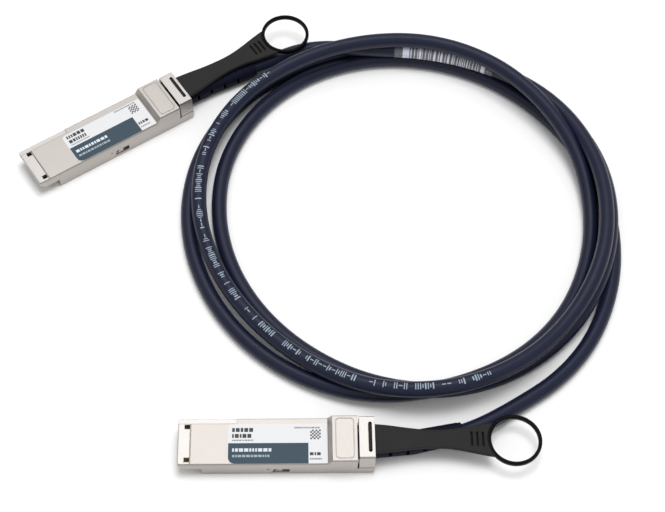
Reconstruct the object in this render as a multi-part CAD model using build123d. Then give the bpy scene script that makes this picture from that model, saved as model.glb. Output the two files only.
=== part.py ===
from build123d import *
import os
from math import cos, radians, sin, tan

# Outside of one plug: lengths run back from its nose, heights go up from its underside
plug_width = 18.35
body_height = 8.5
body_length = 55.0
nose_overhang = 8.6
rail_drop = 4.2
rail_thickness = 0.85
rail_corner = 2.6
nose_corner = 0.8
ledge_length = 21.6
ledge_width = 2.0
ledge_drop = 0.45
edge_round = 0.35
shell_wall = 1.2
roof_thickness = 1.2

# Collar at the lid's rear end, with its engraved frame
collar_slope = 1.7
collar_length = 9.2
collar_rise = 2.4
frame_margin_x = 1.15
frame_margin_y = 1.05
frame_corner = 1.5
frame_line = 0.25
frame_depth = 0.15

# Windows and groove in the nose
window_x = 3.4
window_length = 2.0
window_width = 1.8
window_margin = 2.575
nose_panel_shift = 0.7
groove_x = 4.6
groove_width = 0.4
groove_depth = 0.35

# Tail of the lower shell, under the latch bracket
tail_length = 6.4
tail_height = 4.4
tail_chamfer = 1.6
rear_block_length = 3.4
relief_radius = 0.45

# Latch window in each side wall, with a small locating dot before it
latch_window_back = 20.4
latch_window_length = 6.4
latch_window_bottom = 1.5
latch_window_height = 2.4
side_dot_gap = 1.6
side_dot_radius = 0.35
side_dot_depth = 0.4

# Paddle card with its contacts
card_tip = 1.6
card_step = 8.3
card_back = 11.0
card_drop = 4.05
card_thickness = 1.0
card_nose_margin = 0.125
card_body_margin = 1.875
card_tip_chamfer = 0.5
contact_count = 19
contact_pitch = 0.8
contact_width = 0.55
contact_length = 5.4
contact_setback = 0.5
contact_thickness = 0.05
rest_inset = 0.9
rest_length = 1.5
front_rest_x = 14.0
rear_rest_back = 6.0

# Cable, its ferrule and its signal pairs in the shell
cable_diameter = 6.1
cable_gap = 0.1
cable_lift = 0.25
ferrule_wall = 0.65
ferrule_groove = 0.25
pair_diameter = 1.2
pair_rows = 4
pair_inner_pitch = 1.4
pair_outer_pitch = 3.5
pair_row_height = 0.9
pair_straight = 5.0
pair_fan = 5.6
pair_landing = 5.4
pair_bend = 2.0

# Screws from below into the lid's bosses
screw_back = 0.5
screw_head_diameter = 2.8
screw_head_height = 0.8
screw_recess = 0.2
screw_shank_diameter = 1.5
screw_length = 5.6
screw_slot_width = 0.35
screw_slot_depth = 0.4
boss_diameter = 2.8

# Latch slider: the bracket over the tail and its two arms
bracket_gap = 0.6
bracket_rise = 1.0
bracket_taper = 0.875
bracket_plate = 1.2
bracket_cheek = 1.4
bracket_lift = 0.4
bracket_shoulder = 0.9
bracket_slot_back = 1.75
bracket_slot_margin = 2.25
bracket_slot_width = 1.35
bracket_round = 0.45
arm_thickness = 0.8
arm_inset = 0.175
arm_depth = 2.1
arm_roof_gap = 0.3
arm_low_depth = 1.9
arm_drop_back = 9.0
arm_drop_length = 3.0
wedge_setback = 0.6
wedge_lift = 0.2
wedge_length = 3.2
wedge_nose = 1.6
wedge_depth = 1.1
lug_setback = 1.5
lug_length = 0.8
lug_width = 3.2
lug_bottom_gap = 0.2
lug_top_gap = 0.1

# Return springs between the lugs and the collar's rear wall
spring_diameter = 2.2
spring_wire = 0.4
spring_inset = 2.2
spring_lift = 1.2
spring_turns = 4

# Pull tab: the strap and its finger ring
strap_setback = 1.1
strap_thickness = 1.6
strap_drop = 2.1
strap_level_length = 2.7
strap_mid = 33.7
strap_mid_share = 0.42
strap_slot_gap = 0.25
strap_waist_width = 7.2
strap_end_width = 13.4
strap_end = 43.7
strap_station_shares = (0.0, 0.115, 0.36, 0.53, 0.63, 0.82)
strap_width_shares = (1.0, 0.97, 0.30, 0.0, 0.02, 0.48)
strap_edge = 0.3
ring_back = 51.8
ring_outer_radius = 10.1
ring_band = 1.35
ring_thickness = 2.0
ring_round = 0.5
near_ring_height = 7.9
far_ring_height = 10.5
grip_start = 35.7
grip_pitch = 2.1
grip_count = 3
grip_length = 5.6
grip_width = 0.8
grip_depth = 0.6
tab_key_gap = 0.2
tab_key_drop = 0.35

# Strain relief boot, which follows the first stretch of its lead
boot_length = 33.4
boot_gap = 0.15
flange_gap = 1.2
flange_step = 1.0
flange_length = 0.8
flange_slack = 0.1
neck_slack = 1.2
neck_corner = 2.5
boot_root_width = 9.6
boot_root_slack = 0.6
boot_root_corner = 3.3
boot_corner_limit_share = 0.45
boot_waist_width = 8.7
boot_waist_step = 0.2
boot_end_width = 8.0
boot_end_step = 0.4
boot_waist_share = 0.42
lip_length = 1.2
lip_wall = 0.85
slot_first = 5.6
slot_pitch = 6.3
slot_count = 4
slot_width = 1.2
slot_height = 2.8
slot_lift = 0.4
slot_corner = 0.4
slot_seat = 2.7
rib_groove_width = 0.5
rib_groove_depth = 0.55

# Labels: the far one is a little narrower
label_start = 18.3
label_back = 0.3
near_label_margin = 2.275
far_label_margin = 3.1
label_right_margin = 0.175
label_thickness = 0.1
label_big_corner = 2.5
label_top_corner = 1.8
label_corner = 0.5

# Clearances and the overrun of cuts
arm_clearance = 0.15
fit_clearance = 0.05
overrun = 1.0

# Places of the plugs: the part's origin is the near plug's seat on its underside
seat_x = 31.0
far_nose_x = -95.29
far_nose_y = 121.63
far_heading = 33.13

# First turning points of each lead: how far back from the plug, its drift to the left and its drop
lead_back_shares = (0.11, 0.665, 1.16)
near_drifts = (0.0, 1.7, 7.0)
far_drifts = (0.0, -1.9, -4.06)
lead_drops = (0.0, 0.2, 0.6)
lead_run_share = 0.45

# The rest of each lead, in the part's own frame
near_lead_route = [
    (95.5, 16.0, 3.1),
    (112.5, 27.2, 3.05),
    (126.0, 42.3, 3.05),
    (135.0, 60.8, 3.05),
    (139.9, 80.0, 3.05),
    (140.6, 98.0, 3.05),
]
far_lead_route = [
    (18.0, 186.2, 6.0),
    (36.0, 184.0, 8.9),
]

# The coil's turns about its middle: distance of the line at each twenty degrees, clockwise from 100
coil_x = 56.0
coil_y = 102.5
coil_first_angle = 100
coil_levels = 3
coil_round = 2.0
turn_radii = [
    (79.9, 79.0, 80.2, 82.6, 81.6, 80.6, 80.9, 81.2, 83.3,
     84.9, 83.1, 79.2, 78.1, 79.2, 82.0, 84.2, 84.5, 81.3),
    (80.0, 80.3, 78.8, 76.7, 77.2, 76.1, 75.8, 77.1, 79.6,
     81.6, 83.6, 84.4, 85.1, 85.6, 86.5, 87.0, 86.5, 85.5),
    (85.0, 84.8, 84.6, 84.4, 84.0, 83.2, 82.9, 83.0, 82.2,
     80.4, 77.2, 74.1, 72.8, 72.8, 73.9, 76.1, 77.8, 79.2),
]

# Heights and places that follow from the sizes above
seam_height = body_height - roof_thickness
rail_bottom = body_height - rail_drop
collar_start = body_length + collar_slope
collar_rear = collar_start + collar_length
collar_height = body_height + collar_rise
plug_length = collar_rear + tail_length
rear_block_start = collar_rear - rear_block_length
inner_width = plug_width - 2 * shell_wall
latch_window_start = body_length - latch_window_back
latch_window_end = latch_window_start + latch_window_length
latch_window_top = latch_window_bottom + latch_window_height
side_dot_x = latch_window_start - side_dot_gap
card_end = body_length - card_back
card_bottom = body_height - card_drop
card_top = card_bottom + card_thickness
card_nose_width = plug_width - 2 * (rail_thickness + card_nose_margin)
card_body_width = plug_width - 2 * card_body_margin
rest_width = card_body_width - 2 * rest_inset
rear_rest_x = card_end - rear_rest_back
bracket_start = collar_rear + bracket_gap
bracket_height = collar_height + bracket_rise
bracket_bottom = tail_height + bracket_lift
bracket_slot_x = plug_length - bracket_slot_back
bracket_slot_length = plug_width - 2 * (bracket_taper + bracket_slot_margin)
arm_outer_width = inner_width - 2 * arm_inset
arm_inner_width = arm_outer_width - 2 * arm_thickness
arm_top = seam_height - arm_roof_gap
arm_bottom = arm_top - arm_depth
arm_low_bottom = latch_window_bottom + wedge_lift
arm_low_top = arm_low_bottom + arm_low_depth
arm_drop_x = body_length - arm_drop_back
wedge_start = latch_window_start + wedge_setback
lug_x = collar_start + lug_setback
lug_bottom = seam_height + lug_bottom_gap
lug_top = collar_height - roof_thickness - lug_top_gap
spring_spread = arm_outer_width - 2 * spring_inset
spring_height = seam_height + spring_lift
cable_radius = cable_diameter / 2
cable_height = body_height / 2 + cable_lift
cable_start = collar_start + shell_wall + cable_gap
flange_start = rear_block_start - flange_length
flange_width = arm_inner_width - 2 * flange_gap
neck_width = flange_width - 2 * flange_step
neck_height = body_height - neck_slack
neck_bottom = cable_height - neck_height / 2
ferrule_length = flange_start - flange_slack - cable_start
ferrule_diameter = cable_diameter + 2 * ferrule_wall
screw_x = body_length - screw_back
pairs_width = pair_inner_pitch * (pair_rows - 1) + pair_diameter
screw_spread = (arm_inner_width + pairs_width) / 2
strap_start = bracket_start + strap_setback
strap_height = bracket_height - strap_drop
strap_root_width = bracket_slot_length - 2 * strap_slot_gap
ring_x = plug_length + ring_back
boot_root_height = body_height - boot_root_slack
label_end = body_length - label_back
near_place = Pos(-seat_x, 0, 0)
far_place = Pos(far_nose_x, far_nose_y, 0) * Rot(0, 0, far_heading)
sides = (-1, 1)


def block(start, end, width, bottom, top, middle=0.0):
    shape = Box(end - start, width, top - bottom, align=(Align.MIN, Align.CENTER, Align.MIN))
    return Pos(start, middle, bottom) * shape


def side_slab(points, width, middle=0.0):
    outline = Plane.XZ.offset(-middle) * Polygon(*points, align=None)
    return extrude(outline, width / 2, both=True)


# Lower shell: a die-cast tray whose tail runs on under the bracket
def lower_shell():
    outline = [
        (nose_overhang, 0),
        (plug_length - tail_chamfer, 0),
        (plug_length, tail_chamfer),
        (plug_length, tail_height),
        (collar_rear, tail_height),
        (collar_rear, seam_height),
        (nose_overhang, seam_height),
    ]
    shell = side_slab(outline, plug_width)
    shell = fillet(shell.edges().filter_by(Axis.X).group_by(Axis.Z)[0], edge_round)
    above = seam_height + overrun
    card_side = nose_overhang + shell_wall
    shell -= block(card_side, rear_block_start, inner_width, shell_wall, above)
    card_bed = card_bottom - arm_clearance
    shell -= block(nose_overhang - overrun, card_side + overrun, inner_width, card_bed, above)
    channel_width = neck_width + 2 * fit_clearance
    channel_floor = neck_bottom - fit_clearance
    shell -= block(rear_block_start - overrun, plug_length + overrun, channel_width, channel_floor, above)
    shell -= block(flange_start, rear_block_start, flange_width + 2 * fit_clearance, channel_floor, above)
    arm_slot = arm_thickness + 2 * arm_clearance
    arm_middle = (arm_outer_width - arm_thickness) / 2
    for side in sides:
        slot = block(
            rear_block_start - overrun,
            collar_rear + overrun,
            arm_slot,
            arm_bottom - arm_clearance,
            above,
            side * arm_middle,
        )
        shell -= slot
    for start in (front_rest_x, rear_rest_x):
        shell += block(start, start + rest_length, rest_width, shell_wall / 2, card_bottom)
    saddle_end = cable_start + ferrule_length
    shell += block(cable_start, saddle_end, neck_width, shell_wall / 2, cable_height)
    bed = Cylinder(ferrule_diameter / 2 + fit_clearance, ferrule_length + overrun)
    shell -= Pos((cable_start + saddle_end) / 2, 0, cable_height) * Rot(0, 90, 0) * bed
    return latch_openings(screw_holes(shell))


# Latch window with a slanted front edge, a small locating dot and the relief at the tail's step
def latch_openings(shell):
    window = [
        (latch_window_start, latch_window_bottom),
        (latch_window_end, latch_window_bottom),
        (latch_window_end, latch_window_top),
        (latch_window_start + wedge_nose / 2, latch_window_top),
    ]
    relief = Cylinder(relief_radius, shell_wall + overrun)
    dot = Cylinder(side_dot_radius, 2 * side_dot_depth)
    for side in sides:
        wall_middle = side * (plug_width - shell_wall) / 2
        shell -= side_slab(window, shell_wall + overrun, wall_middle)
        shell -= Pos(collar_rear + relief_radius / 2, wall_middle, tail_height) * Rot(90, 0, 0) * relief
        shell -= Pos(side_dot_x, side * plug_width / 2, latch_window_top) * Rot(90, 0, 0) * dot
    return shell


# Countersunk holes for the two screws in the floor
def screw_holes(shell):
    head_radius = screw_head_diameter / 2 + fit_clearance
    shank_radius = screw_shank_diameter / 2 + fit_clearance
    sink = Cone(head_radius, shank_radius, screw_head_height, align=(Align.CENTER, Align.CENTER, Align.MIN))
    mouth = Cylinder(head_radius, 2 * screw_recess)
    shank = Cylinder(shank_radius, 2 * shell_wall + overrun)
    for side in sides:
        place = Pos(screw_x, side * screw_spread / 2, 0)
        shell -= place * mouth
        shell -= place * Pos(0, 0, screw_recess) * sink
        shell -= place * shank
    return shell


# Upper shell: the lid, the open hood round the card's nose and the hollow collar, cast as one
def upper_shell():
    outline = [
        (0, rail_bottom + rail_corner),
        (rail_corner / 2, rail_bottom + rail_corner / 3),
        (rail_corner, rail_bottom),
        (nose_overhang, rail_bottom),
        (nose_overhang, seam_height),
        (collar_rear, seam_height),
        (collar_rear, collar_height),
        (collar_start, collar_height),
        (body_length, body_height),
        (0, body_height),
    ]
    shell = side_slab(outline, plug_width)
    nose_edges = shell.edges().filter_by(Axis.Z).group_by(Axis.X)[0]
    shell = fillet(nose_edges, nose_corner)
    top_edges = shell.edges().filter_by(Axis.X).filter_by_position(Axis.Z, body_height, collar_height)
    shell = fillet(top_edges, edge_round)
    hood_width = plug_width - 2 * rail_thickness
    roof_bottom = body_height - roof_thickness
    shell -= block(-overrun, nose_overhang + fit_clearance, hood_width, 0, roof_bottom)
    hollow_start = collar_start + shell_wall
    hollow_end = collar_rear - shell_wall
    hollow_top = collar_height - roof_thickness
    shell -= block(hollow_start, hollow_end, inner_width, seam_height - overrun, hollow_top)
    arch = Plane.YZ.offset(hollow_end - overrun) * Pos(0, cable_height) * RectangleRounded(
        neck_width + 2 * fit_clearance, neck_height + 2 * fit_clearance, neck_corner
    )
    shell -= extrude(arch, shell_wall + 2 * overrun)
    for start in (front_rest_x, rear_rest_x):
        shell += block(start, start + rest_length, rest_width, card_top, seam_height + roof_thickness / 2)
    return nose_details(collar_frame(lid_bosses(shell)))


# Bosses under the lid that take the screws
def lid_bosses(shell):
    boss_bottom = shell_wall + fit_clearance
    boss_top = seam_height + roof_thickness / 2
    bore = Cylinder(screw_shank_diameter / 2 + fit_clearance, 2 * (screw_length + fit_clearance))
    boss = Cylinder(boss_diameter / 2, boss_top - boss_bottom, align=(Align.CENTER, Align.CENTER, Align.MIN))
    for side in sides:
        shell += Pos(screw_x, side * screw_spread / 2, boss_bottom) * boss
        shell -= Pos(screw_x, side * screw_spread / 2, screw_recess) * bore
    return shell


# Thin engraved line with round corners on the collar's top
def collar_frame(shell):
    length = collar_rear - collar_start - 2 * frame_margin_x
    width = plug_width - 2 * frame_margin_y
    middle = (collar_rear + collar_start) / 2
    line = RectangleRounded(length, width, frame_corner)
    line -= RectangleRounded(length - 2 * frame_line, width - 2 * frame_line, frame_corner - frame_line)
    bed = Plane.XY.offset(collar_height - frame_depth) * Pos(middle, 0)
    shell -= extrude(bed * line, frame_depth + overrun)
    return shell


# Keying ledge, the two windows over the card and the groove between them
def nose_details(shell):
    ledge_edge = plug_width / 2 - ledge_width
    ledge_middle = plug_width / 2 - ledge_width / 2 + overrun / 2
    shell -= block(
        -overrun,
        ledge_length,
        ledge_width + overrun,
        body_height - ledge_drop,
        body_height + overrun,
        ledge_middle,
    )
    for side in sides:
        middle = side * (plug_width / 2 - window_margin) - nose_panel_shift
        shell -= block(
            window_x - window_length / 2,
            window_x + window_length / 2,
            window_width,
            seam_height - overrun,
            body_height + overrun,
            middle,
        )
    groove_right = -plug_width / 2 + edge_round
    shell -= block(
        groove_x - groove_width / 2,
        groove_x + groove_width / 2,
        ledge_edge - groove_right,
        body_height - groove_depth,
        body_height + overrun,
        (ledge_edge + groove_right) / 2,
    )
    return shell


# Paddle card: the wide nose goes into the host, the narrow body lies between the shells
def paddle_card():
    nose_half = card_nose_width / 2
    body_half = card_body_width / 2
    half = [
        (card_tip, nose_half - card_tip_chamfer),
        (card_tip + card_tip_chamfer, nose_half),
        (card_step, nose_half),
        (card_step, body_half),
        (card_end, body_half),
    ]
    mirrored = [(x, -y) for x, y in half]
    outline = Plane.XY.offset(card_bottom) * Polygon(*mirrored, *reversed(half), align=None)
    return extrude(outline, card_thickness)


# Gold pads in a row on both faces of the card's nose
def edge_contacts():
    pad = Box(contact_length, contact_width, contact_thickness)
    middle = card_tip + contact_setback + contact_length / 2
    row = GridLocations(0, contact_pitch, 1, contact_count)
    pads = []
    for height in (card_top + contact_thickness / 2, card_bottom - contact_thickness / 2):
        for spot in row:
            pads.append(Pos(middle, 0, height) * spot * pad)
    return pads


# Insulated signal pairs that fan out from the cable's cut end to both faces of the card
def twinax_pairs():
    pairs = []
    for level in sides:
        landing = card_top if level > 0 else card_bottom
        for index in range(pair_rows):
            step = index - (pair_rows - 1) / 2
            start_y = step * pair_inner_pitch
            end_y = step * pair_outer_pitch
            start_z = cable_height + level * pair_row_height
            end_z = landing + level * pair_diameter / 2
            points = [
                (cable_start, start_y, start_z),
                (cable_start - pair_straight, start_y, start_z),
                (cable_start - pair_straight - pair_fan, end_y, end_z),
                (cable_start - pair_straight - pair_fan - pair_landing, end_y, end_z),
            ]
            path = FilletPolyline(*points, radius=pair_bend)
            section = Plane(path @ 0, z_dir=path % 0) * RegularPolygon(pair_diameter / 2, 8)
            pairs.append(sweep(section, path=path))
    return pairs


# Crimp ferrule: a rolled ring with two pressed grooves
def crimp_ferrule():
    outer = ferrule_diameter / 2
    valley = outer - ferrule_groove
    rise_shares = (0.15, 0.22, 0.38, 0.45, 0.55, 0.62, 0.78, 0.85)
    profile = [(0, cable_radius), (0, outer)]
    for index, share in enumerate(rise_shares):
        profile.append((share * ferrule_length, valley if index % 4 in (1, 2) else outer))
    profile += [(ferrule_length, outer), (ferrule_length, cable_radius)]
    ring = revolve(Plane.XZ * Polygon(*profile, align=None), Axis.X)
    return Pos(cable_start, 0, cable_height) * ring


# Countersunk screws with a cross slot, shared as one group
def shell_screws():
    head = Cone(
        screw_head_diameter / 2,
        screw_shank_diameter / 2,
        screw_head_height,
        align=(Align.CENTER, Align.CENTER, Align.MIN),
    )
    shank = Cylinder(screw_shank_diameter / 2, screw_length, align=(Align.CENTER, Align.CENTER, Align.MIN))
    screw = head + shank
    for turn in (0, 90):
        screw -= Rot(0, 0, turn) * Box(screw_shank_diameter, screw_slot_width, 2 * screw_slot_depth)
    return [Pos(screw_x, side * screw_spread / 2, screw_recess) * screw for side in sides]


# Latch slider: the slotted bracket, its cheeks and the two arms that end in wedges
def latch_slider():
    outer = plug_width / 2
    top = outer - bracket_taper
    shoulder = bracket_bottom + bracket_shoulder
    ceiling = bracket_height - bracket_plate
    slope = bracket_taper / (bracket_height - shoulder)
    outer_at_ceiling = top + slope * bracket_plate
    half = [
        (outer, bracket_bottom),
        (outer, shoulder),
        (top, bracket_height),
    ]
    inner_half = [
        (outer_at_ceiling - bracket_cheek, ceiling),
        (outer - bracket_cheek, shoulder),
        (outer - bracket_cheek, bracket_bottom),
    ]
    points = half + [(-y, z) for y, z in reversed(half)]
    points += [(-y, z) for y, z in reversed(inner_half)] + inner_half
    outline = Plane.YZ.offset(bracket_start) * Polygon(*points, align=None)
    bracket = extrude(outline, plug_length - bracket_start)
    bracket = fillet(bracket.edges().filter_by(Axis.X).group_by(Axis.Z)[-1], bracket_round)
    slot = Pos(bracket_slot_x, 0) * Rot(0, 0, 90) * SlotOverall(bracket_slot_length, bracket_slot_width)
    bracket -= extrude(Plane.XY.offset(ceiling - overrun) * slot, bracket_plate + 2 * overrun)
    for side in sides:
        bracket += latch_arm(side)
    return bracket


# One arm: high where it leaves the bracket, then low beside the card, with the wedge in its window
def latch_arm(side):
    profile = [
        (plug_length, arm_bottom),
        (plug_length, arm_top),
        (lug_x + lug_length, arm_top),
        (lug_x + lug_length, lug_top),
        (lug_x, lug_top),
        (lug_x, arm_top),
        (arm_drop_x + arm_drop_length, arm_top),
        (arm_drop_x, arm_low_top),
        (wedge_start + wedge_nose, arm_low_top),
        (wedge_start, arm_low_bottom),
        (arm_drop_x + arm_drop_length, arm_low_bottom),
        (arm_drop_x + 2 * arm_drop_length, arm_bottom),
    ]
    arm_middle = side * (arm_outer_width - arm_thickness) / 2
    arm = side_slab(profile, arm_thickness, arm_middle)
    wedge = [
        (wedge_start + wedge_nose, arm_low_top),
        (wedge_start, arm_low_bottom),
        (wedge_start + wedge_length, arm_low_bottom),
        (wedge_start + wedge_length, arm_low_top),
    ]
    wedge_middle = side * (arm_outer_width + wedge_depth) / 2
    arm += side_slab(wedge, wedge_depth, wedge_middle)
    lug_middle = side * (arm_outer_width - lug_width) / 2
    arm += block(lug_x, lug_x + lug_length, lug_width, lug_bottom, lug_top, lug_middle)
    return arm


# Two small coil springs, each from its lug to the collar's rear wall
def return_springs():
    start = lug_x + lug_length + spring_wire / 2
    end = collar_rear - shell_wall - spring_wire / 2
    mean_radius = (spring_diameter - spring_wire) / 2
    pitch = (end - start) / spring_turns
    path = Helix(pitch, end - start, mean_radius, direction=(1, 0, 0))
    section = Plane(path @ 0, z_dir=path % 0) * RegularPolygon(spring_wire / 2, 6)
    spring = sweep(section, path=path, is_frenet=True)
    return [Pos(start, side * spring_spread / 2, spring_height) * spring for side in sides]


# Pull tab: a strap with a waist, held by its key in the bracket's slot, and the finger ring
def pull_tab(ring_height):
    strap_stop = plug_length + strap_end
    mid_x = plug_length + strap_mid
    length = strap_stop - strap_start
    waist_half = strap_waist_width / 2
    root_half = strap_root_width / 2
    end_half = strap_end_width / 2
    edge = []
    for place_share, width_share in zip(strap_station_shares, strap_width_shares):
        goal = root_half if place_share < strap_station_shares[3] else end_half
        half = waist_half + (goal - waist_half) * width_share
        edge.append((strap_start + length * place_share, half))
    edge.append((strap_stop, end_half))
    left = Spline(*edge)
    right = Spline(*[(x, -y) for x, y in edge])
    front = Line(left @ 0, right @ 0)
    back = Polyline(left @ 1, (ring_x, end_half), (ring_x, -end_half), right @ 1)
    plan = make_face(left + right + front + back)
    mid_height = strap_height + (ring_height - strap_height) * strap_mid_share
    bend_x = plug_length + strap_level_length
    line = [(strap_start, strap_height), (bend_x, strap_height), (mid_x, mid_height), (ring_x, ring_height)]
    under = [(x, z - strap_thickness / 2) for x, z in line]
    over = [(x, z + strap_thickness / 2) for x, z in reversed(line)]
    tab = extrude(plan, bracket_height + overrun) & side_slab(under + over, 2 * strap_end_width)
    tab = chamfer(tab.edges().filter_by(GeomType.BSPLINE), strap_edge)
    middle_radius = ring_outer_radius - ring_band / 2
    tab -= Pos(ring_x, 0, ring_height) * Cylinder(middle_radius, 4 * ring_thickness)
    section = Plane.XZ * Pos(middle_radius, 0) * RectangleRounded(ring_band, ring_thickness, ring_round)
    tab += Pos(ring_x, 0, ring_height) * revolve(section, Axis.Z)
    key_top = bracket_height - tab_key_drop
    tab += block(
        bracket_slot_x - bracket_slot_width / 2 + tab_key_gap,
        bracket_slot_x + bracket_slot_width / 2 - tab_key_gap,
        strap_root_width - bracket_slot_width,
        strap_height,
        key_top,
    )
    for index in range(grip_count):
        x = plug_length + grip_start + index * grip_pitch
        share = (x - mid_x) / (ring_x - mid_x)
        top = mid_height + (ring_height - mid_height) * share + strap_thickness / 2
        groove = Pos(x, 0) * Rot(0, 0, 90) * SlotOverall(grip_length, grip_width)
        tab -= extrude(Plane.XY.offset(top - grip_depth) * groove, grip_depth + overrun)
    return tab


# A lead's line: straight runs joined by arcs as large as the runs allow
def lead_path(place, drifts, route, name):
    points = [place * Pos(cable_start, 0, cable_height)]
    for share, drift, drop in zip(lead_back_shares, drifts, lead_drops):
        points.append(place * Pos(plug_length + boot_length * share, drift, cable_height - drop))
    points = [spot.position for spot in points] + [Vector(*spot) for spot in route]
    radii = []
    for before, corner, after in zip(points, points[1:], points[2:]):
        turn = (corner - before).get_angle(after - corner)
        shorter = min((corner - before).length, (after - corner).length)
        radii.append(lead_run_share * shorter / tan(radians(turn / 2)))
    print(name, "radii", [round(radius, 1) for radius in radii])
    return FilletPolyline(*points, radius=radii)


def lead_tube(path, name):
    tube = sweep(Plane(path @ 0, z_dir=path % 0) * Circle(cable_radius), path=path)
    ideal = Circle(cable_radius).area * path.length
    print(name, "length", round(path.length, 1), "volume share", round(tube.volume / ideal, 4))
    return tube


# Strain relief boot: neck and flange in the shell, then a taper along the lead. It bends at the side windows
# and at the grooves that cross its top and underside.
def boot(path):
    def station(from_nose):
        distance = from_nose - cable_start
        spot = path.position_at(distance / path.length)
        along = path.tangent_at(distance / path.length)
        return Plane(spot, x_dir=along.cross(Vector(0, 0, 1)), z_dir=along)

    def rounded(width, height):
        widest_corner = boot_corner_limit_share * min(width, height)
        return RectangleRounded(width, height, min(boot_root_corner, widest_corner))

    root = plug_length + boot_gap
    tip = root + boot_length
    waist = root + boot_length * boot_waist_share
    lip_start = tip - lip_length
    flange = station(flange_start) * RectangleRounded(flange_width, neck_height, neck_corner)
    neck = station(flange_start) * RectangleRounded(neck_width, neck_height, neck_corner)
    body = extrude(flange, flange_length)
    body += extrude(neck, root - flange_start)
    root_face = station(root) * rounded(boot_root_width, boot_root_height)
    waist_face = station(waist) * rounded(boot_waist_width, boot_root_height - boot_waist_step)
    end_face = station(lip_start) * rounded(boot_end_width, boot_root_height - boot_end_step)
    body += loft([root_face, waist_face], ruled=True)
    body += loft([waist_face, end_face], ruled=True)
    body += extrude(station(lip_start) * Circle(cable_radius + lip_wall), lip_length)
    reach = boot_root_width
    window = Box(reach, slot_height, slot_width)
    window = fillet(window.edges().filter_by(Axis.X), slot_corner)
    groove = Box(reach, reach, rib_groove_width)
    groove_seat = boot_root_height / 2 - rib_groove_depth
    for index in range(slot_count):
        beside = station(plug_length + slot_first + index * slot_pitch)
        for side in sides:
            body -= beside * Pos(side * (slot_seat + reach / 2), -slot_lift, 0) * window
    for index in range(2 * slot_count):
        across = station(plug_length + slot_first + index * slot_pitch / 2)
        for side in sides:
            body -= across * Pos(0, side * (groove_seat + reach / 2), 0) * groove
    return body


# Label: a thin sheet on the lid with two larger round corners at its nose end
def label(margin):
    label_left = plug_width / 2 - margin
    label_right = label_right_margin - plug_width / 2
    width = label_left - label_right
    middle = (label_left + label_right) / 2
    sheet = block(label_start, label_end, width, body_height, body_height + label_thickness, middle)
    corners = sheet.edges().filter_by(Axis.Z).sort_by(Axis.X)
    front_right = corners[:2].sort_by(Axis.Y)[0]
    sheet = fillet([front_right], label_big_corner)
    front_left = sheet.edges().filter_by(Axis.Z).group_by(Axis.X)[0].sort_by(Axis.Y)[-1]
    sheet = fillet([front_left], label_top_corner)
    others = sheet.edges().filter_by(Axis.Z).group_by(Axis.X)[-1]
    return fillet(others, label_corner)


# The coil's outer shape: a ring between the smallest and the largest turn at each angle
def cable_coil():
    columns = list(zip(*turn_radii))
    inner = []
    outer = []
    for index, column in enumerate(columns):
        angle = radians(coil_first_angle - index * 360 / len(columns))
        low = min(column) - cable_radius
        high = max(column) + cable_radius
        inner.append((coil_x + low * cos(angle), coil_y + low * sin(angle)))
        outer.append((coil_x + high * cos(angle), coil_y + high * sin(angle)))
    ring = make_face(Spline(*outer, periodic=True)) - make_face(Spline(*inner, periodic=True))
    coil = extrude(ring, coil_levels * cable_diameter, dir=(0, 0, 1))
    return fillet(coil.edges(), coil_round)


def plug(name, place, ring_height, label_margin, path):
    pieces = {
        "lower_shell": [lower_shell()],
        "upper_shell": [upper_shell()],
        "paddle_card": [paddle_card()],
        "edge_contacts": edge_contacts(),
        "twinax_pairs": twinax_pairs(),
        "crimp_ferrule": [crimp_ferrule()],
        "shell_screws": shell_screws(),
        "latch_slider": [latch_slider()],
        "return_springs": return_springs(),
        "pull_tab": [pull_tab(ring_height)],
        "label": [label(label_margin)],
    }
    for piece, shapes in pieces.items():
        solids = [place * solid for shape in shapes for solid in shape.solids()]
        export_step(Compound(solids), f"parts/{name}_{piece}.step")
    tube = lead_tube(path, name)
    export_step(boot(path) - tube, f"parts/{name}_strain_relief.step")
    export_step(tube, f"parts/{name}_lead.step")


os.makedirs("parts", exist_ok=True)
near_path = lead_path(near_place, near_drifts, near_lead_route, "near")
far_path = lead_path(far_place, far_drifts, far_lead_route, "far")
plug("near", near_place, near_ring_height, near_label_margin, near_path)
plug("far", far_place, far_ring_height, far_label_margin, far_path)
export_step(cable_coil(), "parts/cable_coil.step")
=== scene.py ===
import random
from bisect import bisect_right
from math import cos, pi, radians, sin
import bpy
from mathutils import Matrix, Vector


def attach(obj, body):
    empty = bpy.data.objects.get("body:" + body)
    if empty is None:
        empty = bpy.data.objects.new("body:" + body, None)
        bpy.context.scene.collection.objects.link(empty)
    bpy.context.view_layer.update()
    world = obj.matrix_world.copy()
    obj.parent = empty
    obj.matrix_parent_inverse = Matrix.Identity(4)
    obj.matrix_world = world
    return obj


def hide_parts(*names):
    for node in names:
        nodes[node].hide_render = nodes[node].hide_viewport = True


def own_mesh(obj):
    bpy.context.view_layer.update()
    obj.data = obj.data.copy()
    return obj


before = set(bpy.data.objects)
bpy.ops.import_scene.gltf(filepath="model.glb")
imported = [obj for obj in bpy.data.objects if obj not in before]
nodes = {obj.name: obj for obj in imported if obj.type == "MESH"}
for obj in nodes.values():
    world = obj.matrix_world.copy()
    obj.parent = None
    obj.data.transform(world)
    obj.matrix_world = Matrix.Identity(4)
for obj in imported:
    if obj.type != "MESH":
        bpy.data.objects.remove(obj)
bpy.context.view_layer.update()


# Table, lamps and camera. The table is a plain white sheet. A soft key lamp over the coil throws the
# short shadows, a wide card behind it is there for the reflections, and the camera looks down from
# the front.
camera_place = Vector((0.009573, -0.245060, 0.540788))
camera_lens = 85.79
camera_sensor = 36.0
camera_heading = radians(3.093)
camera_drop = radians(58.59)
camera_roll = radians(2.49)
table_size = 8.0
table_white = 0.93
table_white_change = 0.01
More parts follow.
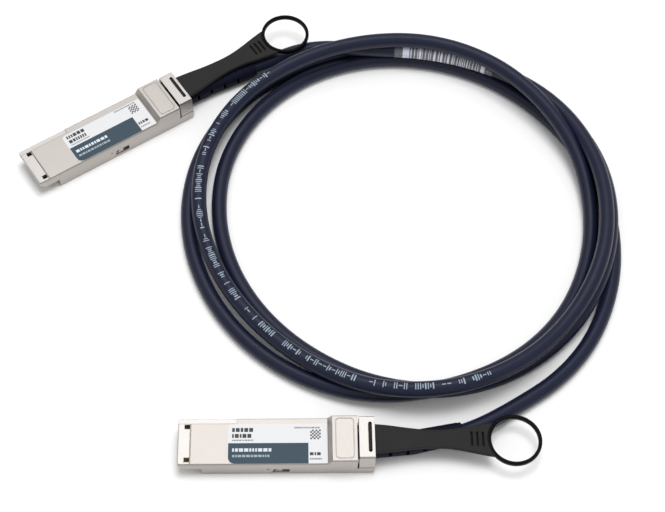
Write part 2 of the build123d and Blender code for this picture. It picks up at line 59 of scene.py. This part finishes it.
sky_low = (0.25, 0.245, 0.245, 1.0)
sky_high = (0.72, 0.72, 0.72, 1.0)
sky_low_height = -0.1
sky_high_height = 0.75
lamp_aim = Vector((0.0, 0.05, 0.0))
key_lamp_place = Vector((0.12, 0.20, 1.55))
key_lamp_size = 0.7
key_lamp_power = 15.0
soft_card_place = Vector((-0.05, 0.66, 1.55))
soft_card_size = 1.0
soft_card_power = 7.0


def add_object(name, data):
    item = bpy.data.objects.new(name, data)
    bpy.context.scene.collection.objects.link(item)
    return item


class Flow:
    """One output of a shader node. Sums on it are written as Python expressions."""

    plain_detail = 2.0
    fine_detail = 3.0
    colour_result = 2
    bevel_samples = 4

    def __init__(self, tree, socket=None):
        self.tree = tree
        self.socket = socket

    def node(self, kind, settings, inputs, output=0):
        made = self.tree.nodes.new(kind)
        for name, value in settings.items():
            setattr(made, name, value)
        for name, value in inputs.items():
            self.feed(made.inputs[name], value)
        return Flow(self.tree, made.outputs[output])

    def feed(self, socket, value):
        if isinstance(value, Flow):
            self.tree.links.new(value.socket, socket)
        else:
            socket.default_value = value

    def math(self, operation, first, second):
        return self.node("ShaderNodeMath", {"operation": operation}, {0: first, 1: second})

    def measured(self, operation, other):
        """The number that a vector sum gives, such as a dot product or a distance."""
        settings = {"operation": operation}
        return self.node("ShaderNodeVectorMath", settings, {0: self, 1: other}, "Value")

    def blend(self, first, second):
        """A colour between two colours, by this value."""
        inputs = {"Factor": self, "A": first, "B": second}
        return self.node("ShaderNodeMix", {"data_type": "RGBA"}, inputs, self.colour_result)

    def step(self, low, high):
        """A smooth step from 0 at one value to 1 at the other."""
        inputs = {"Value": self, "From Min": low, "From Max": high}
        return self.node("ShaderNodeMapRange", {"interpolation_type": "SMOOTHSTEP"}, inputs)

    def noise(self, scale, detail=plain_detail):
        return self.node("ShaderNodeTexNoise", {}, {"Vector": self, "Scale": scale, "Detail": detail})

    def rounded_normal(self, radius):
        settings = {"samples": self.bevel_samples}
        return self.node("ShaderNodeBevel", settings, {"Radius": radius})

    def true_normal(self):
        return self.node("ShaderNodeNewGeometry", {}, {}, "Normal")

    def height(self):
        return self.node("ShaderNodeSeparateXYZ", {}, {"Vector": self}, "Z")

    def __add__(self, other):
        return self.math("ADD", self, other)

    def __sub__(self, other):
        return self.math("SUBTRACT", self, other)

    def __rsub__(self, other):
        return self.math("SUBTRACT", other, self)

    def __mul__(self, other):
        return self.math("MULTIPLY", self, other)

    __radd__ = __add__
    __rmul__ = __mul__


def finish_called(name, **constants):
    """A new material, its main shader with the constants set, and a Flow of the place on the piece."""
    material = bpy.data.materials.new(name)
    material.use_nodes = True
    tree = material.node_tree
    shader = tree.nodes["Principled BSDF"]
    for socket, value in constants.items():
        shader.inputs[socket.replace("_", " ")].default_value = value
    place = Flow(tree).node("ShaderNodeTexCoord", {}, {}, "Object")
    return material, shader, place


def dress(shader, place, colour, roughness, height=None, depth=0.0, softened=0.0):
    """Links colour and roughness, and a bump over edges that look rounded by the softened radius."""
    place.feed(shader.inputs["Base Color"], colour)
    place.feed(shader.inputs["Roughness"], roughness)
    normal = place.rounded_normal(softened) if softened else None
    if height is not None:
        inputs = {"Height": height, "Distance": depth, "Strength": 1.0}
        if normal:
            inputs["Normal"] = normal
        normal = place.node("ShaderNodeBump", {}, inputs)
    if normal:
        place.feed(shader.inputs["Normal"], normal)


def speckled(
    name,
    colours,
    scale,
    roughness,
    change=0.0,
    detail=Flow.plain_detail,
    depth=0.0,
    softened=0.0,
    **constants,
):
    """A plain finish: one fine noise varies its colour, its roughness by the change, and its relief."""
    material, shader, place = finish_called(name, **constants)
    speck = place.noise(scale, detail)
    varied = roughness + speck * change if change else roughness
    dress(shader, place, speck.blend(*colours), varied, speck if depth else None, depth, softened)
    return material


def greys(darker, lighter):
    return (darker, darker, darker, 1.0), (lighter, lighter, lighter, 1.0)


bpy.context.scene.view_settings.view_transform = "Standard"
level_ahead = Vector((sin(camera_heading), cos(camera_heading), 0.0))
forward = level_ahead * cos(camera_drop) - Vector((0.0, 0.0, sin(camera_drop)))
level_right = Vector((cos(camera_heading), -sin(camera_heading), 0.0))
level_up = level_right.cross(forward)
right = level_right * cos(camera_roll) + level_up * sin(camera_roll)
upward = level_up * cos(camera_roll) - level_right * sin(camera_roll)
camera_data = bpy.data.cameras.new("camera")
camera_data.lens = camera_lens
camera_data.sensor_width = camera_sensor
camera = add_object("camera", camera_data)
camera_turn = Matrix((right, upward, -forward)).transposed().to_4x4()
camera.matrix_world = Matrix.Translation(camera_place) @ camera_turn
bpy.context.scene.camera = camera

for name, spot, size, power in (
    ("key_lamp", key_lamp_place, key_lamp_size, key_lamp_power),
    ("soft_card", soft_card_place, soft_card_size, soft_card_power),
):
    lamp_data = bpy.data.lights.new(name, "AREA")
    lamp_data.shape = "SQUARE"
    lamp_data.size = size
    lamp_data.energy = power
    lamp = add_object(name, lamp_data)
    lamp.location = spot
    lamp.rotation_mode = "QUATERNION"
    lamp.rotation_quaternion = (lamp_aim - spot).to_track_quat("-Z", "Y")
    lamp.visible_glossy = name == "soft_card"
    lamp.visible_diffuse = name == "key_lamp"

world = bpy.data.worlds.new("sky")
bpy.context.scene.world = world
world.use_nodes = True
sky = Flow(world.node_tree)
direction = sky.node("ShaderNodeTexCoord", {}, {}, "Generated")
sky_colour = direction.height().step(sky_low_height, sky_high_height).blend(sky_low, sky_high)
sky.feed(world.node_tree.nodes["Background"].inputs["Color"], sky_colour)

table_mesh = bpy.data.meshes.new("table")
reach = table_size / 2
corners = [(-reach, -reach, 0.0), (reach, -reach, 0.0), (reach, reach, 0.0), (-reach, reach, 0.0)]
table_mesh.from_pydata(corners, [], [range(len(corners))])
table = add_object("table", table_mesh)
table_whites = greys(table_white, table_white - table_white_change)
table_mesh.materials.append(speckled("table_white", table_whites, scale=3.0, roughness=0.9))


# Cable. One round cable of insulated pairs in a smooth dark navy jacket. It leaves the far plug, makes
# three and a third loose clockwise turns that lie beside and over each other, and ends in the near
# plug. Pale marks are printed along the first turn.
cable_diameter = 0.0061
cable_sides = 24
line_order = 3
line_resolution = 12
far_lead = [
    (-0.04672, 0.15333, 0.0045),
    (-0.03167, 0.16315, 0.0045),
    (-0.01511, 0.17169, 0.0043),
    (-0.00008, 0.17892, 0.0039),
    (0.01800, 0.18620, 0.0060),
]
near_lead = [
    (0.13990, 0.08000, 0.00305),
    (0.13500, 0.06080, 0.00305),
    (0.12600, 0.04230, 0.00305),
    (0.11250, 0.02720, 0.00305),
    (0.09550, 0.01600, 0.00310),
    (0.08004, 0.00700, 0.00390),
    (0.06351, 0.00170, 0.00430),
    (0.04497, 0.0, 0.0045),
    (0.02700, 0.0, 0.0045),
]
coil_middle = Vector((0.056, 0.1025, 0.0))
coil_first_angle = radians(100)
coil_step = radians(20)
millimetre = 0.001
# Radius and height at each step of the coil, in millimetres: two rows make one turn
turn_radii = [
    (79.9, 79.0, 80.2, 82.6, 81.6, 80.6, 80.9, 81.2, 83.3),
    (84.9, 83.1, 79.2, 78.1, 79.2, 82.0, 84.2, 84.5, 81.3),
    (80.0, 80.3, 78.8, 76.7, 77.2, 76.1, 75.8, 77.1, 79.6),
    (81.6, 83.6, 84.4, 85.1, 85.6, 86.5, 87.0, 86.5, 85.5),
    (85.0, 84.8, 84.6, 84.4, 84.0, 83.2, 82.9, 83.0, 82.2),
    (80.4, 77.2, 74.1, 72.8, 72.8, 73.9, 76.1, 77.8, 79.2),
    (79.5, 79.2, 78.8, 78.7, 80.3, 83.2),
]
turn_heights = [
    (9.6, 9.2, 9.2, 9.4, 12.2, 14.2, 14.5, 11.5, 13.4),
    (14.8, 11.6, 7.9, 7.4, 7.4, 8.6, 9.2, 10.0, 14.0),
    (15.2, 15.2, 15.2, 13.6, 8.4, 3.5, 3.05, 4.2, 8.2),
    (9.15, 5.5, 3.05, 3.05, 3.05, 3.05, 3.05, 3.05, 3.05),
    (3.05, 3.05, 3.05, 3.8, 8.0, 9.2, 8.8, 5.0, 3.05),
    (3.05, 3.05, 3.05, 3.05, 3.05, 3.05, 3.05, 3.05, 3.05),
    (3.05, 3.05, 3.05, 3.05, 3.05, 3.05),
]

route = list(far_lead)
for radii, heights in zip(turn_radii, turn_heights):
    for radius, lift in zip(radii, heights):
        angle = coil_first_angle - (len(route) - len(far_lead)) * coil_step
        reach = radius * millimetre / cos(coil_step / 2)
        spot = coil_middle + Vector((reach * cos(angle), reach * sin(angle), lift * millimetre))
        route.append(tuple(spot))
route += near_lead

line_curve = bpy.data.curves.new("cable_line", "CURVE")
line_curve.dimensions = "3D"
line_curve.resolution_u = line_resolution
spline = line_curve.splines.new("NURBS")
spline.points.add(len(route) - 1)
for point, spot in zip(spline.points, route):
    point.co = (*spot, 1.0)
spline.order_u = line_order
spline.use_endpoint_u = True
line_object = add_object("cable_line", line_curve)
line_mesh = bpy.data.meshes.new_from_object(line_object)
line = [vertex.co.copy() for vertex in line_mesh.vertices]
bpy.data.objects.remove(line_object)

# How far the line has come at each of its points, and how far it has turned round the coil's middle
travel = [0.0]
turned = [coil_first_angle + Vector((1.0, 0.0)).angle_signed((line[0] - coil_middle).xy)]
for first, second in zip(line, line[1:]):
    travel.append(travel[-1] + (second - first).length)
    before = (first - coil_middle).xy
    turned.append(turned[-1] + before.angle_signed((second - coil_middle).xy))


def on_line(distance):
    """The point of the cable's line at a distance from its start, and its direction there."""
    index = min(max(bisect_right(travel, distance) - 1, 0), len(line) - 2)
    share = (distance - travel[index]) / (travel[index + 1] - travel[index])
    before = line[max(index - 1, 0)]
    after = line[min(index + 2, len(line) - 1)]
    start_way = (line[index + 1] - before).normalized()
    end_way = (after - line[index]).normalized()
    return line[index].lerp(line[index + 1], share), start_way.lerp(end_way, share).normalized()


def distance_at(swept):
    """The distance along the line where it has gone so many degrees clockwise from its first angle."""
    return travel[bisect_right(turned, radians(swept))]


def hoop(distance, radius, angles):
    """Points round the cable. Angles go from its top towards the right hand of its way."""
    spot, way = on_line(distance)
    side = way.cross(Vector((0.0, 0.0, 1.0))).normalized()
    top = side.cross(way)
    return [spot + radius * (top * cos(angle) + side * sin(angle)) for angle in angles]


def skin(name, sheets, finish, closed=False, capped=False):
    """A smooth mesh of one or more grids of points. Closed grids go round."""
    points = []
    faces = []
    for rows in sheets:
        base = len(points)
        wide = len(rows[0])
        for row in rows:
            points.extend(row)
        for level in range(len(rows) - 1):
            for index in range(wide if closed else wide - 1):
                following = (index + 1) % wide
                low = base + level * wide
                high = low + wide
                faces.append((low + index, low + following, high + following, high + index))
        if capped:
            faces.append(tuple(base + index for index in reversed(range(wide))))
            faces.append(tuple(len(points) - wide + index for index in range(wide)))
    mesh = bpy.data.meshes.new(name)
    mesh.from_pydata(points, [], faces)
    mesh.shade_smooth()
    mesh.materials.append(finish)
    return add_object(name, mesh)


full_round = [2 * pi * index / cable_sides for index in range(cable_sides)]
jacket_dark = (0.0070, 0.0094, 0.0270, 1.0)
jacket_light = (0.0108, 0.0138, 0.0345, 1.0)
jacket_roughness = 0.32
dust_roughness = 0.12
dust_height = 0.6
grain_depth = 0.00002
drift_scale = 22.0
dust_scale = 900.0
grain_scale = 2600.0

jacket, shader, place = finish_called("navy_jacket", Specular_IOR_Level=0.27)
drift = place.noise(drift_scale, Flow.fine_detail)
dust = place.noise(dust_scale)
relief = place.noise(grain_scale) + dust * dust_height
roughness = jacket_roughness + dust * dust_roughness
dress(shader, place, drift.blend(jacket_dark, jacket_light), roughness, relief, grain_depth)

jacket_hoops = [hoop(spot, cable_diameter / 2, full_round) for spot in travel]
cable = skin("cable", [jacket_hoops], jacket, closed=True, capped=True)
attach(cable, "cable_and_shells")
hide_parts("near_lead", "far_lead", "cable_coil")

# The print: upright strokes and short dashes of chance widths, with gaps between them
print_start = 169.0
print_end = 328.0
print_height = 0.0026
print_line = 0.00036
print_dash = 0.0014
print_space = 0.00052
print_gap = 0.0024
print_lift = 0.00002
print_tilt = radians(-2)
print_piece_length = 0.0012
print_points_across = 5
stroke_heights = (1.0, 1.0, 0.6)
stroke_widths = (1.0, 1.0, 1.5)
gaps_below = 0.14
dashes_below = 0.26
dice_seed = 11
dice = random.Random(dice_seed)
ink_colours = ((0.19, 0.26, 0.32, 1.0), (0.38, 0.46, 0.53, 1.0))


def mark(start, width, half_angle):
    """A small curved sheet on the cable's top, from a distance on and to both sides."""
    parts = max(2, int(width / print_piece_length) + 1)
    last = print_points_across - 1
    low = print_tilt - half_angle
    angles = [low + 2 * half_angle * index / last for index in range(print_points_across)]
    radius = cable_diameter / 2 + print_lift
    return [hoop(start + width * index / (parts - 1), radius, angles) for index in range(parts)]


marks = []
spot = distance_at(print_start)
while spot < distance_at(print_end):
    throw = dice.random()
    if throw < gaps_below:
        spot += print_gap
    elif throw < dashes_below:
        marks.append(mark(spot, print_dash, print_line / cable_diameter))
        spot += print_dash + print_space
    else:
        half_angle = print_height / cable_diameter * dice.choice(stroke_heights)
        width = print_line * dice.choice(stroke_widths)
        marks.append(mark(spot, width, half_angle))
        spot += width + print_space
ink = speckled("pale_ink", ink_colours, scale=1500.0, roughness=0.55)
cable_print = skin("cable_print", marks, ink)
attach(cable_print, "cable_and_shells")


# Bar tag. A white paper band with plain bars is wrapped round the first turn, under a clear shrunk
# sleeve that is a little longer than the band.
tag_start = 10.6
tag_end = 38.4
tag_lift = 0.00008
tag_piece_length = 0.002
sleeve_excess = 0.0036
sleeve_lift = 0.00020
bar_margin = 0.0029
bar_lift = 0.00010
bar_pitch = 0.00062
bar_widths = (0.6, 0.8, 1.2, 1.8)
bar_gaps = (0.5, 0.5, 0.8, 1.5)
paper_colours = ((0.62, 0.64, 0.76, 1.0), (0.74, 0.76, 0.87, 1.0))
bar_colours = ((0.010, 0.011, 0.014, 1.0), (0.035, 0.037, 0.045, 1.0))
sleeve_colours = ((0.70, 0.71, 0.75, 1.0), (0.80, 0.81, 0.85, 1.0))
tag_from = distance_at(tag_start)
tag_to = distance_at(tag_end)


def band(start, end, lift):
    parts = int((end - start) / tag_piece_length) + 2
    radius = cable_diameter / 2 + lift
    return [hoop(start + (end - start) * index / (parts - 1), radius, full_round) for index in range(parts)]


bars = []
spot = tag_from + bar_margin
while spot < tag_to - bar_margin:
    width = bar_pitch * dice.choice(bar_widths)
    bars.append(band(spot, spot + width, bar_lift))
    spot += width + bar_pitch * dice.choice(bar_gaps)
paper = speckled(
    "tag_paper", paper_colours, scale=1800.0, roughness=0.5, detail=Flow.fine_detail, depth=0.00001
)
bar_ink = speckled("bar_ink", bar_colours, scale=2200.0, roughness=0.45)
clear = speckled("clear_sleeve", sleeve_colours, scale=700.0, roughness=0.10, change=0.1, Alpha=0.16)
tag = skin("bar_tag", [band(tag_from, tag_to, tag_lift)], paper, closed=True)
tag_bars = skin("bar_tag_bars", bars, bar_ink, closed=True)
sleeve_band = band(tag_from - sleeve_excess, tag_to + sleeve_excess, sleeve_lift)
sleeve = skin("tag_sleeve", [sleeve_band], clear, closed=True)
for piece in (tag, tag_bars, sleeve):
    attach(piece, "cable_and_shells")


# Shells and latch sliders. Zinc die-castings with a satin nickel plating that is a little warm in tone.
# It has a fine sandy grain. Painted highlights lighten the top faces of the nose, the ledge and the
# bracket and the top edges, and painted shade darkens the groove, the step by the ledge and a line under
# the top edges.
plugs = {
    "near": Matrix.Translation((-0.031, 0.0, 0.0)),
    "far": Matrix.Translation((-0.09529, 0.12163, 0.0)) @ Matrix.Rotation(radians(33.13), 4, "Z"),
}
plug_top = 0.0085
collar_foot = 0.0550
collar_crest = 0.0567
collar_rise = 0.0024
bracket_front = 0.0662
bracket_rise = 0.0010
groove_place = 0.0046
groove_half = 0.0002
ledge_edge = 0.007175
ledge_end = 0.0216
blur = 0.0001
edge_start = 0.80
edge_full = 0.995
side_face = (0.1, 0.3)
line_under_edge_start = (0.00020, 0.00035)
line_under_edge_end = (0.00065, 0.00080)
nickel_dark = (0.430, 0.400, 0.376, 1.0)
nickel_light = (0.490, 0.458, 0.432, 1.0)
nickel_painted_highlight = (0.530, 0.512, 0.496, 1.0)
nickel_edge_highlight = (0.68, 0.65, 0.62, 1.0)
nickel_shade = (0.10, 0.085, 0.07, 1.0)
nickel_edge_radius = 0.00022
nickel_softened = 0.00018
nickel_roughness = 0.34
sand_roughness = 0.10
edge_polish = 0.08
sand_depth = 0.000012
cloud_scale = 45.0
sand_scale = 1900.0
highlight_share = 0.75
edge_highlight_share = 0.5
groove_share = 0.5
ledge_share = 0.4
under_edge_share = 0.6


def put_on(finish, *names):
    for name in names:
        mesh = nodes[name].data
        mesh.materials.clear()
        mesh.materials.append(finish)


def ways_of(to_frame):
    """A plug's own directions: back along it, and to its left."""
    turn = to_frame.to_3x3()
    return turn @ Vector((1.0, 0.0, 0.0)), turn @ Vector((0.0, 1.0, 0.0))


def past_nose(place, way, to_frame):
    """How far a place lies from the middle of the plug's nose, along one of its directions."""
    return place.measured("DOT_PRODUCT", tuple(way)) - way.dot(to_frame.translation)


def edge_of(place, radius):
    """1 on an outer or inner edge, 0 on the open face."""
    alike = place.rounded_normal(radius).measured("DOT_PRODUCT", place.true_normal())
    return 1 - alike.step(edge_start, edge_full)


for plug, to_frame in plugs.items():
    along, across = ways_of(to_frame)
    nickel, shader, place = finish_called(plug + "_satin_nickel", Metallic=1.0)
    back = past_nose(place, along, to_frame)
    aside = past_nose(place, across, to_frame)
    facing = place.true_normal().measured("DOT_PRODUCT", tuple(across))
    sideways = (facing * facing).step(*side_face)
    topside = 1 - sideways
    sand = place.noise(sand_scale, Flow.fine_detail)
    edge = edge_of(place, nickel_edge_radius)

    before_groove = 1 - back.step(groove_place - blur, groove_place + blur)
    on_nose = 1 - back.step(ledge_end - blur, ledge_end + blur)
    on_ledge = aside.step(ledge_edge, ledge_edge + 2 * blur) * on_nose
    on_bracket = back.step(bracket_front - blur, bracket_front + blur)
    # Painted highlight: the top faces of the nose strip before the groove, of the ledge and of the bracket
    # are lightened.
    bright = (before_groove + on_ledge * (1 - before_groove) + on_bracket) * highlight_share * topside

    # Painted shade: darkening in the groove, a dark line along the step beside the ledge on the nose, and a
    # dark line just under the top edges of the side faces.
    groove_front = groove_place - groove_half
    groove_back = groove_place + groove_half
    in_groove = back.step(groove_front - blur, groove_front)
    in_groove = in_groove * (1 - back.step(groove_back, groove_back + blur))
    in_groove = in_groove * (1 - on_ledge) * topside
    beside_ledge = aside.step(ledge_edge - 3 * blur, ledge_edge - blur)
    beside_ledge = beside_ledge * (1 - aside.step(ledge_edge, ledge_edge + blur)) * on_nose
    rise = back.step(collar_foot, collar_crest) * collar_rise + on_bracket * bracket_rise
    depth = rise + plug_top - place.height()
    under_edge = depth.step(*line_under_edge_start) * (1 - depth.step(*line_under_edge_end)) * sideways
    shade = in_groove * groove_share + beside_ledge * (1 - in_groove) * ledge_share
    shade = shade + under_edge * under_edge_share

    colour = place.noise(cloud_scale, Flow.fine_detail).blend(nickel_dark, nickel_light)
    colour = bright.blend(colour, nickel_painted_highlight)
    # Painted highlight along the top edges.
    colour = (edge * edge_highlight_share * topside).blend(colour, nickel_edge_highlight)
    colour = shade.blend(colour, nickel_shade)
    roughness = nickel_roughness + sand * sand_roughness - edge * edge_polish
    dress(shader, place, colour, roughness, sand, sand_depth, nickel_softened)
    put_on(nickel, plug + "_lower_shell", plug + "_upper_shell", plug + "_latch_slider")


# Paddle cards, contacts, signal pairs, ferrules, screws and springs. A green masked board with gold
# pads, pairs in bright foil, a rolled brass ring, zinc plated screws and bright drawn wire. The
# springs are copied onto a piece of their own unchanged; the latch travel is not applied to them.
latch_travel = 0.0025
mask_colours = ((0.012, 0.075, 0.035, 1.0), (0.020, 0.110, 0.055, 1.0))
gold_colours = ((0.78, 0.52, 0.20, 1.0), (0.88, 0.64, 0.30, 1.0))
foil_colours = greys(0.55, 0.75)
brass_colours = ((0.50, 0.40, 0.24, 1.0), (0.68, 0.57, 0.37, 1.0))
zinc_colours = greys(0.42, 0.60)
wire_colours = greys(0.45, 0.62)

mask = speckled("solder_mask", mask_colours, scale=1100.0, roughness=0.30, change=0.15, Coat_Weight=0.3)
gold = speckled("gold_plate", gold_colours, scale=1600.0, roughness=0.25, change=0.15, Metallic=1.0)
foil = speckled(
    "pair_foil",
    foil_colours,
    scale=1300.0,
    roughness=0.30,
    change=0.2,
    detail=Flow.fine_detail,
    depth=0.00005,
    Metallic=0.8,
)
brass = speckled(
    "ferrule_brass",
    brass_colours,
    scale=400.0,
    roughness=0.35,
    change=0.2,
    detail=Flow.fine_detail,
    Metallic=1.0,
)
zinc = speckled(
    "screw_zinc",
    zinc_colours,
    scale=1400.0,
    roughness=0.30,
    change=0.2,
    depth=0.00001,
    softened=0.00008,
    Metallic=1.0,
)
wire = speckled("spring_wire", wire_colours, scale=2400.0, roughness=0.22, change=0.15, Metallic=1.0)
for plug, to_frame in plugs.items():
    put_on(mask, plug + "_paddle_card")
    put_on(gold, plug + "_edge_contacts")
    put_on(foil, plug + "_twinax_pairs")
    put_on(brass, plug + "_crimp_ferrule")
    put_on(zinc, plug + "_shell_screws")
    springs = add_object(plug + "_squeezed_springs", nodes[plug + "_return_springs"].data.copy())
    springs.data.materials.clear()
    springs.data.materials.append(wire)
    along, across = ways_of(to_frame)
    spots = sorted((vertex.co.copy() for vertex in springs.data.vertices), key=along.dot)
    spring_length = along.dot(spots[-1] - spots[0])
    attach(springs, "cable_and_shells")
    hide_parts(plug + "_return_springs")
    1 - latch_travel / spring_length
    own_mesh(springs)


# Pull tabs. Each is moulded in one piece from black plastic. The strap has a fine matte texture and
# three grip grooves darkened by painted shade, with a painted highlight along its edges. The finger ring at
# its end is glossy.
ring_distance = 0.1241
ring_reach = 0.0104
ring_blur = 0.0003
ring_heights = {"near": 0.0079, "far": 0.0105}
grip_places = (0.1080, 0.1101, 0.1122)
grip_half_width = 0.0004
grip_half_length = 0.0028
top_face = (-0.1, 0.1)
strap_dark = (0.0190, 0.0196, 0.0188, 1.0)
strap_light = (0.0250, 0.0258, 0.0246, 1.0)
strap_edge_highlight = (0.045, 0.047, 0.045, 1.0)
grip_painted_shade = (0.0015, 0.0015, 0.0015, 1.0)
ring_black = (0.0015, 0.0015, 0.0020, 1.0)
strap_edge_radius = 0.00025
strap_highlight_share = 0.35
strap_softened = 0.00020
grip_shade_share = 0.8
ring_roughness = 0.24
strap_extra_roughness = 0.26
pebble_roughness = 0.08
pebble_depth = 0.00001
patch_scale = 160.0
patch_detail = 4.0
pebble_scale = 2300.0

for plug, to_frame in plugs.items():
    along, across = ways_of(to_frame)
    moulded, shader, place = finish_called(plug + "_tab_plastic", Specular_IOR_Level=0.08)
    ring_middle = to_frame @ Vector((ring_distance, 0.0, ring_heights[plug]))
    from_ring = place.measured("DISTANCE", tuple(ring_middle))
    strap = from_ring.step(ring_reach - ring_blur, ring_reach + ring_blur)
    back = past_nose(place, along, to_frame)
    aside = past_nose(place, across, to_frame)
    stripes = []
    for grip in grip_places:
        grip_front = grip - grip_half_width
        grip_back = grip + grip_half_width
        past_front = back.step(grip_front - blur, grip_front)
        stripes.append(past_front * (1 - back.step(grip_back, grip_back + blur)))
    beside = (aside * aside).step(grip_half_length ** 2, (grip_half_length + 2 * blur) ** 2)
    upright = place.true_normal().measured("DOT_PRODUCT", (0.0, 0.0, 1.0))
    in_grip = sum(stripes) * (1 - beside) * upright.step(*top_face)

    pebble = place.noise(pebble_scale)
    edge = edge_of(place, strap_edge_radius)
    matte = place.noise(patch_scale, patch_detail).blend(strap_dark, strap_light)
    # Painted highlight along the strap's edges.
    matte = (edge * strap_highlight_share).blend(matte, strap_edge_highlight)
    # Painted shade in the grip grooves.
    matte = (in_grip * grip_shade_share).blend(matte, grip_painted_shade)
    roughness = ring_roughness + strap * strap_extra_roughness + pebble * pebble_roughness
    dress(shader, place, strap.blend(ring_black, matte), roughness, pebble, pebble_depth, strap_softened)
    put_on(moulded, plug + "_pull_tab")


# Strain relief boots. Moulded over the cable from a dark navy rubber that is duller than the jacket,
# with side windows and ring grooves where they bend. Their edges get a painted highlight.
rubber_dark = (0.0062, 0.0071, 0.0160, 1.0)
rubber_light = (0.0098, 0.0110, 0.0228, 1.0)
rubber_edge_highlight = (0.020, 0.022, 0.036, 1.0)
rubber_edge_radius = 0.0003
rubber_highlight_share = 0.3
rubber_softened = 0.00030
rubber_roughness = 0.42
pore_roughness = 0.14
pore_depth = 0.000012
flow_mark_scale = 150.0
pore_scale = 2000.0

rubber, shader, place = finish_called("boot_rubber", Specular_IOR_Level=0.05)
pore = place.noise(pore_scale)
edge = edge_of(place, rubber_edge_radius)
colour = place.noise(flow_mark_scale, Flow.fine_detail).blend(rubber_dark, rubber_light)
# Painted highlight along the edges.
colour = (edge * rubber_highlight_share).blend(colour, rubber_edge_highlight)
roughness = rubber_roughness + pore * pore_roughness
dress(shader, place, colour, roughness, pore, pore_depth, rubber_softened)
put_on(rubber, "near_strain_relief", "far_strain_relief")


# Labels. Satin plastic sheets stuck on the lids: bluish white, with a slate panel along the front, and
# only plain generic marks on them: rows of blocks and a chequered square.
label_top = 0.0086
ink_thickness = 0.00002
panel = (0.0185, 0.0479, -0.0090, -0.0008)
panel_corner = 0.0025
corner_steps = 8
# Each row of blocks: its start, end, lower and upper edge, and the blocks' middle width
black_rows = [
    (0.0199, 0.0284, 0.0037, 0.0053, 0.00080),
    (0.0199, 0.0280, 0.0013, 0.0029, 0.00080),
    (0.0484, 0.0530, -0.0058, -0.0046, 0.00075),
]
grey_rows = [
    (0.0199, 0.0282, 0.0001, 0.0006, 0.00045),
    (0.0428, 0.0524, 0.0050, 0.0056, 0.00045),
    (0.0484, 0.0530, -0.0075, -0.0069, 0.00045),
]
white_rows = [(0.0200, 0.0354, -0.0042, -0.0029, 0.00085)]
pale_rows = [(0.0200, 0.0338, -0.0064, -0.0055, 0.00070)]
block_widths = (0.8, 1.2, 1.8)
block_gap_share = 0.45
chequer_start = 0.0486
chequer_low = 0.0006
chequer_cell = 0.00065
chequer_count = 6
sheet_colours = ((0.655, 0.660, 0.672, 1.0), (0.700, 0.705, 0.716, 1.0))
slate = ((0.036, 0.062, 0.084, 1.0), (0.046, 0.075, 0.100, 1.0))
black = ((0.030, 0.033, 0.040, 1.0), (0.065, 0.070, 0.080, 1.0))
mid_grey = ((0.15, 0.16, 0.18, 1.0), (0.24, 0.25, 0.27, 1.0))
white = ((0.56, 0.60, 0.65, 1.0), (0.72, 0.76, 0.80, 1.0))
pale = ((0.28, 0.34, 0.39, 1.0), (0.38, 0.44, 0.49, 1.0))


def rectangle(start, end, low, high, corner=0.0):
    """A rectangle's outline. The corner at its start and lower edge is round if a radius is given."""
    points = [(end, low), (end, high), (start, high)]
    if not corner:
        return points + [(start, low)]
    for step in range(corner_steps + 1):
        angle = pi + pi / 2 * step / corner_steps
        points.append((start + corner + corner * cos(angle), low + corner + corner * sin(angle)))
    return points


def row_of_blocks(start, end, low, high, width):
    """Outlines of plain upright blocks in a row, all of one height and of three widths."""
    outlines = []
    spot = start
    while spot + width < end:
        wide = width * dice.choice(block_widths)
        outlines.append(rectangle(spot, spot + wide, low, high))
        spot += wide + width * block_gap_share
    return outlines


def chequer():
    cells = []
    for column in range(chequer_count):
        for row in range(column % 2, chequer_count, 2):
            x = chequer_start + column * chequer_cell
            y = chequer_low + row * chequer_cell
            cells.append(rectangle(x, x + chequer_cell, y, y + chequer_cell))
    return cells


def printed(name, outlines, colours, to_frame):
    """Thin flat plates with the given outlines, which lie on the label."""
    points = []
    faces = []
    for outline in outlines:
        low = len(points)
        count = len(outline)
        high = low + count
        for level in (label_top, label_top + ink_thickness):
            points.extend(to_frame @ Vector((x, y, level)) for x, y in outline)
        faces.append(tuple(low + index for index in reversed(range(count))))
        faces.append(tuple(high + index for index in range(count)))
        for index in range(count):
            following = (index + 1) % count
            faces.append((low + index, low + following, high + following, high + index))
    mesh = bpy.data.meshes.new(name)
    mesh.from_pydata(points, [], faces)
    finish = speckled(name, colours, scale=1700.0, roughness=0.42, change=0.1, Specular_IOR_Level=0.2)
    mesh.materials.append(finish)
    piece = add_object(name, mesh)
    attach(piece, "cable_and_shells")


sheet = speckled("label_sheet", sheet_colours, scale=1500.0, roughness=0.35, change=0.12, depth=0.000006)
for plug, to_frame in plugs.items():
    put_on(sheet, plug + "_label")
    printed(plug + "_label_panel", [rectangle(*panel, panel_corner)], slate, to_frame)
    on_panel = Matrix.Translation((0.0, 0.0, ink_thickness)) @ to_frame
    for title, rows, colours, row_frame in (
        ("black", black_rows, black, to_frame),
        ("grey", grey_rows, mid_grey, to_frame),
        ("white", white_rows, white, on_panel),
        ("pale", pale_rows, pale, on_panel),
    ):
        outlines = [outline for row in rows for outline in row_of_blocks(*row)]
        if title == "black":
            outlines += chequer()
        printed(f"{plug}_label_{title}_marks", outlines, colours, row_frame)
